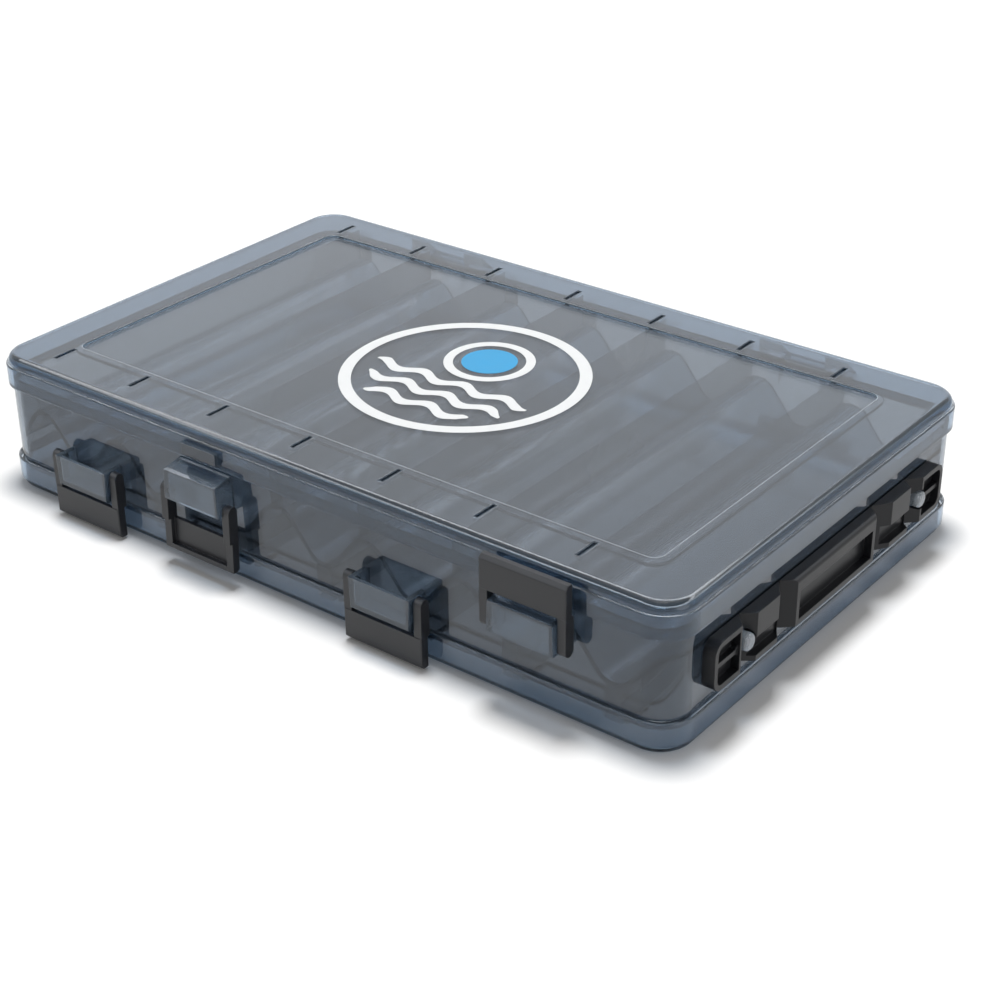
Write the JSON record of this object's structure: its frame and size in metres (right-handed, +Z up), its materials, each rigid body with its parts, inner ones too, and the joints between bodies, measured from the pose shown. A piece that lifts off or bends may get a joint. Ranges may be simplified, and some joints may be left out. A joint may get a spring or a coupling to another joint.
{
  "type": "tackle box",
  "caption": "Flat two-sided lure box of smoke-tinted clear plastic, with a hinged lid above and below, compartments over a wavy web, flip latches and a folding strap handle on one end.",
  "frame": {"origin": "on the ground below the middle of the whole box, handle, latches and hinges included", "axes": "+X along the box towards the end with the handle, +Y towards the hinges at the back, +Z up"},
  "size_m": [0.2804, 0.1842, 0.0495],
  "materials": {
    "smoke_lid": "smoke-tinted clear plastic, polished",
    "smoke_tray": "smoke-tinted clear plastic, polished, a little milky",
    "black_latch": "black moulded plastic with a fine satin grain",
    "black_strap": "black flexible plastic, satin",
    "hinge_steel": "drawn steel wire"
  },
  "bodies": {
    "tray": {"tray_frame": "smoke_tray", "compartment_web": "smoke_tray", "upper_divider_1": "smoke_tray", "lower_divider_1": "smoke_tray", "upper_divider_2": "smoke_tray", "lower_divider_2": "smoke_tray", "upper_divider_3": "smoke_tray", "lower_divider_3": "smoke_tray", "upper_divider_4": "smoke_tray", "lower_divider_4": "smoke_tray", "upper_divider_5": "smoke_tray", "lower_divider_5": "smoke_tray", "upper_divider_6": "smoke_tray", "lower_divider_6": "smoke_tray", "upper_divider_7": "smoke_tray", "lower_divider_7": "smoke_tray", "top_catch_outer": "smoke_tray", "top_catch_inner": "smoke_tray", "tray_knuckles_top": "smoke_tray", "top_hinge_pin_left": "hinge_steel", "top_hinge_pin_right": "hinge_steel", "bottom_catch_outer": "smoke_tray", "bottom_catch_inner": "smoke_tray", "tray_knuckles_bottom": "smoke_tray", "bottom_hinge_pin_left": "hinge_steel", "bottom_hinge_pin_right": "hinge_steel", "handle_peg_near": "smoke_tray", "handle_end_near": "black_strap", "handle_peg_far": "smoke_tray", "handle_end_far": "black_strap"},
    "top_lid": {"top_lid": "smoke_lid", "top_lid_knuckles": "smoke_lid", "top_lid_nub_outer": "smoke_lid", "top_lid_nub_inner": "smoke_lid"},
    "top_latch_outer": {"top_latch_outer": "black_latch"},
    "top_latch_inner": {"top_latch_inner": "black_latch"},
    "bottom_lid": {"bottom_lid": "smoke_lid", "bottom_lid_knuckles": "smoke_lid", "bottom_lid_nub_outer": "smoke_lid", "bottom_lid_nub_inner": "smoke_lid"},
    "bottom_latch_outer": {"bottom_latch_outer": "black_latch"},
    "bottom_latch_inner": {"bottom_latch_inner": "black_latch"},
    "handle_link_near": {"handle_link_near": "black_strap"},
    "handle_link_far": {"handle_link_far": "black_strap"},
    "handle_grip": {"handle_grip": "black_strap"}
  },
  "joints": [
    {"name": "top_lid_hinge", "type": "hinge", "parent": "tray", "child": "top_lid", "pos_m": [-0.0017, 0.08905, 0.0383], "axis": [-1, 0, 0], "range_deg": [0, 175]},
    {"name": "bottom_lid_hinge", "type": "hinge", "parent": "tray", "child": "bottom_lid", "pos_m": [-0.0017, 0.08905, 0.0112], "axis": [1, 0, 0], "range_deg": [0, 175]},
    {"name": "top_latch_outer_hinge", "type": "hinge", "parent": "tray", "child": "top_latch_outer", "pos_m": [0.0891, -0.08875, 0.0272], "axis": [1, 0, 0], "range_deg": [0, 178]},
    {"name": "top_latch_inner_hinge", "type": "hinge", "parent": "tray", "child": "top_latch_inner", "pos_m": [-0.0404, -0.08875, 0.0272], "axis": [1, 0, 0], "range_deg": [-178, 0]},
    {"name": "bottom_latch_outer_hinge", "type": "hinge", "parent": "tray", "child": "bottom_latch_outer", "pos_m": [-0.0925, -0.08875, 0.0223], "axis": [-1, 0, 0], "range_deg": [0, 178]},
    {"name": "bottom_latch_inner_hinge", "type": "hinge", "parent": "tray", "child": "bottom_latch_inner", "pos_m": [0.037, -0.08875, 0.0223], "axis": [-1, 0, 0], "range_deg": [0, 178]},
    {"name": "handle_pull", "type": "slide", "parent": "tray", "child": "handle_grip", "axis": [1, 0, 0], "range_m": [0, 0.006], "stiffness_N_per_m": 150},
    {"name": "handle_fold_near", "type": "hinge", "parent": "handle_grip", "child": "handle_link_near", "pos_m": [0.1356, -0.0297, 0.02475], "axis": [0, 0, -1], "range_deg": [0, 16.41]},
    {"name": "handle_fold_far", "type": "hinge", "parent": "handle_grip", "child": "handle_link_far", "pos_m": [0.1356, 0.0251, 0.02475], "axis": [0, 0, 1], "range_deg": [0, 16.41]}
  ],
  "couplings": [
    {"joint": "handle_fold_near", "follows": "handle_pull", "rad_per_m": 46.581},
    {"joint": "handle_fold_far", "follows": "handle_pull", "rad_per_m": 46.581}
  ]
}
